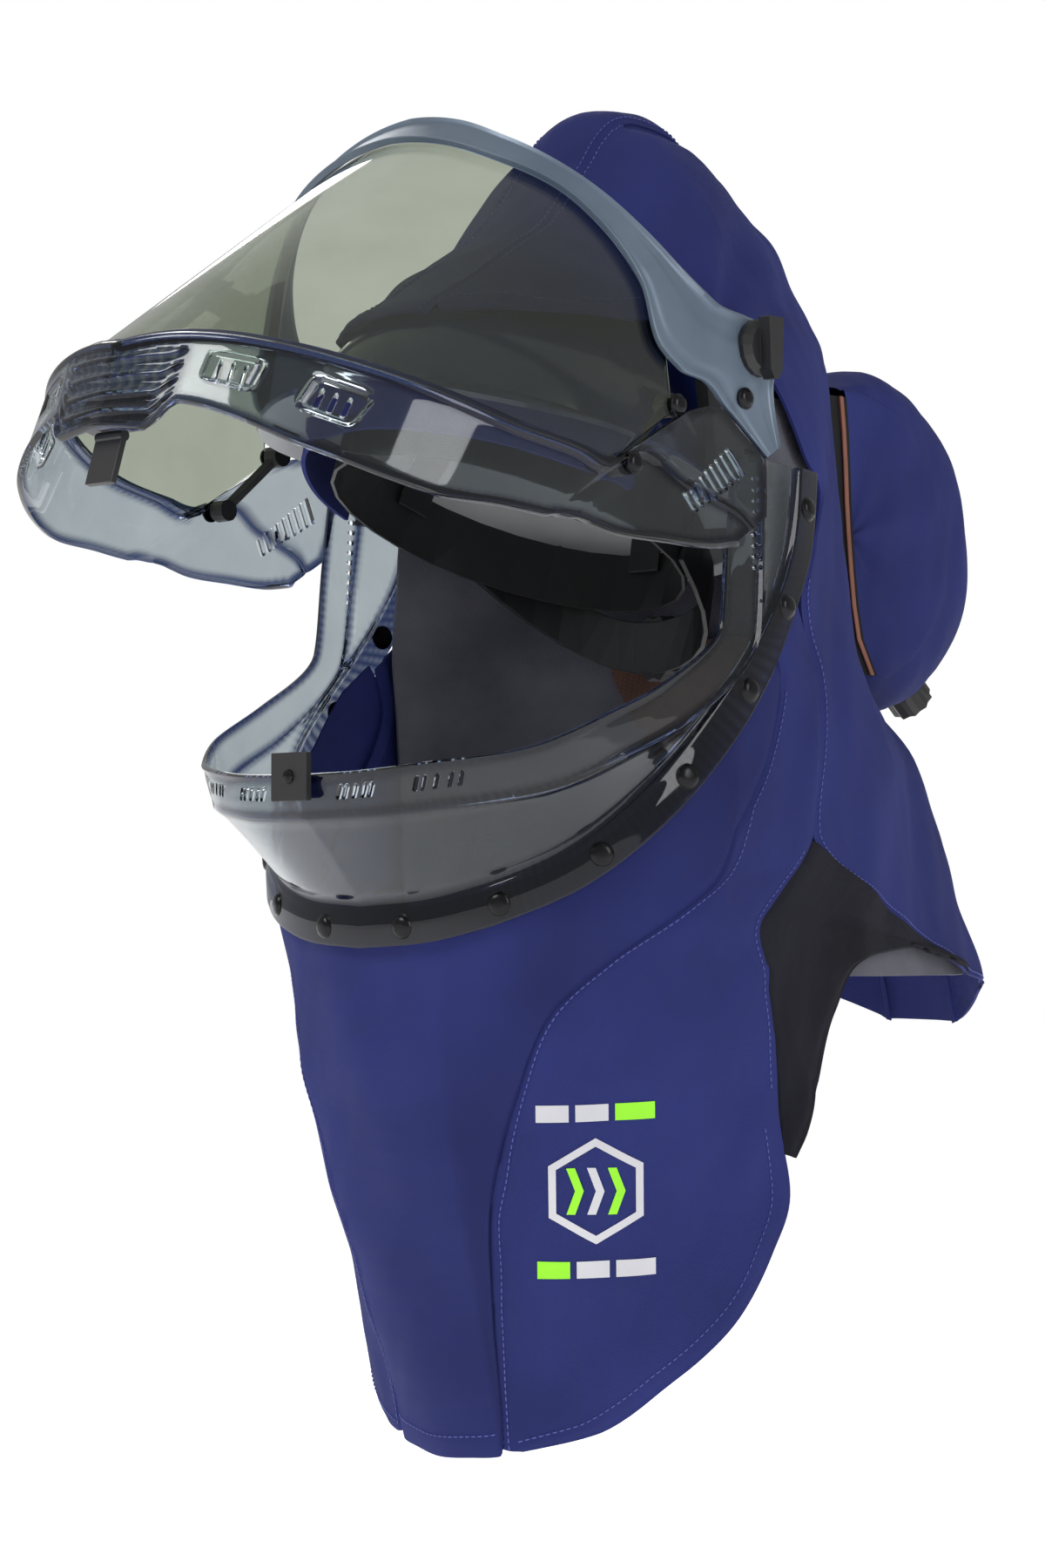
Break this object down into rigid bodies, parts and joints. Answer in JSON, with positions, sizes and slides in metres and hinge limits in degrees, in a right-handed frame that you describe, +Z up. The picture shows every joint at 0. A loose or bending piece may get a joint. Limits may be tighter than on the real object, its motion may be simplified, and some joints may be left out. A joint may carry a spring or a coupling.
{
  "type": "arc flash hood",
  "caption": "Lift-front arc flash hood: clear visor hinged over a riveted chin guard, hat shell inside, lined cloth hood with bib, back skirt and rear pouch.",
  "frame": {"origin": "centre of the headband inside the hat shell, where the hood sits on the head", "axes": "+Z up, -Y the way the wearer faces, +X to the wearer's left, visor lifted as in the picture"},
  "size_m": [0.3056, 0.5808, 0.6529],
  "materials": {
    "navy_cloth": "plain woven flame-resistant cloth, matt",
    "dark_knit": "rib knit, matt",
    "fleece": "napped lining, matt",
    "brown_mesh": "woven mesh",
    "hat_plastic": "polished, pale inside",
    "black_plastic": "satin moulded",
    "black_metal": "black satin coating",
    "smoked_plastic": "clear smoked navy, polished",
    "clear_plastic": "clear green-grey tint, polished",
    "grey_plastic": "satin grey-blue",
    "leather": "thin brown felted leather"
  },
  "bodies": {
    "hood": {"crown_strip": "navy_cloth", "bib_centre": "navy_cloth", "side_left": "navy_cloth", "side_right": "navy_cloth", "bib_left": "navy_cloth", "bib_right": "navy_cloth", "brow_band": "navy_cloth", "pouch_body": "navy_cloth", "gusset_left": "dark_knit", "gusset_right": "dark_knit", "lining": "fleece", "mesh_panel": "brown_mesh", "hat_shell": "hat_plastic", "headband": "black_plastic", "crown_strap_across": "black_plastic", "crown_strap_along": "black_plastic", "nape_strap": "black_plastic", "adapter_left": "black_plastic", "adapter_right": "black_plastic", "strike": "black_plastic", "pouch_strip_left": "black_plastic", "pouch_strip_right": "black_plastic", "pouch_cap": "black_plastic", "shroud_rivet_left_1": "black_metal", "shroud_rivet_right_1": "black_metal", "shroud_rivet_left_2": "black_metal", "shroud_rivet_right_2": "black_metal", "shroud_rivet_left_3": "black_metal", "shroud_rivet_right_3": "black_metal", "shroud_rivet_left_4": "black_metal", "shroud_rivet_right_4": "black_metal", "shroud_rivet_left_5": "black_metal", "shroud_rivet_right_5": "black_metal", "shroud_rivet_left_6": "black_metal", "shroud_rivet_right_6": "black_metal", "shroud_rivet_left_7": "black_metal", "shroud_rivet_right_7": "black_metal", "strike_screw": "black_metal", "shroud": "smoked_plastic", "pouch_trim_left": "leather", "pouch_trim_right": "leather"},
    "visor": {"visor_bracket": "grey_plastic", "visor_lens": "clear_plastic", "visor_frame": "smoked_plastic", "latch_base": "black_plastic", "lens_clip_left": "black_plastic", "lens_clip_right": "black_plastic", "bracket_screw_left": "black_metal", "bracket_screw_right": "black_metal", "visor_rivet_left_1": "black_metal", "visor_rivet_left_2": "black_metal", "visor_rivet_right_1": "black_metal", "visor_rivet_right_2": "black_metal"},
    "latch": {"latch_lever": "black_plastic"},
    "left_knob": {"knob_left": "black_plastic"},
    "right_knob": {"knob_right": "black_plastic"},
    "ratchet": {"ratchet_knob": "black_plastic"}
  },
  "joints": [
    {"name": "visor_lift", "type": "hinge", "parent": "hood", "child": "visor", "pos_m": [0, 0.0152, 0.064], "axis": [-1, 0, 0], "range_deg": [-40.5, 12]},
    {"name": "latch_turn", "type": "hinge", "parent": "visor", "child": "latch", "pos_m": [0, -0.25107, 0.01126], "axis": [1, 0, 0], "range_deg": [0, 35]},
    {"name": "left_knob_turn", "type": "hinge", "parent": "visor", "child": "left_knob", "pos_m": [0.1408, 0.0152, 0.064], "axis": [1, 0, 0], "continuous": true},
    {"name": "right_knob_turn", "type": "hinge", "parent": "visor", "child": "right_knob", "pos_m": [-0.1408, 0.0152, 0.064], "axis": [-1, 0, 0], "continuous": true},
    {"name": "ratchet_turn", "type": "hinge", "parent": "hood", "child": "ratchet", "pos_m": [0, 0.098, -0.063], "axis": [0, 1, 0], "continuous": true}
  ]
}
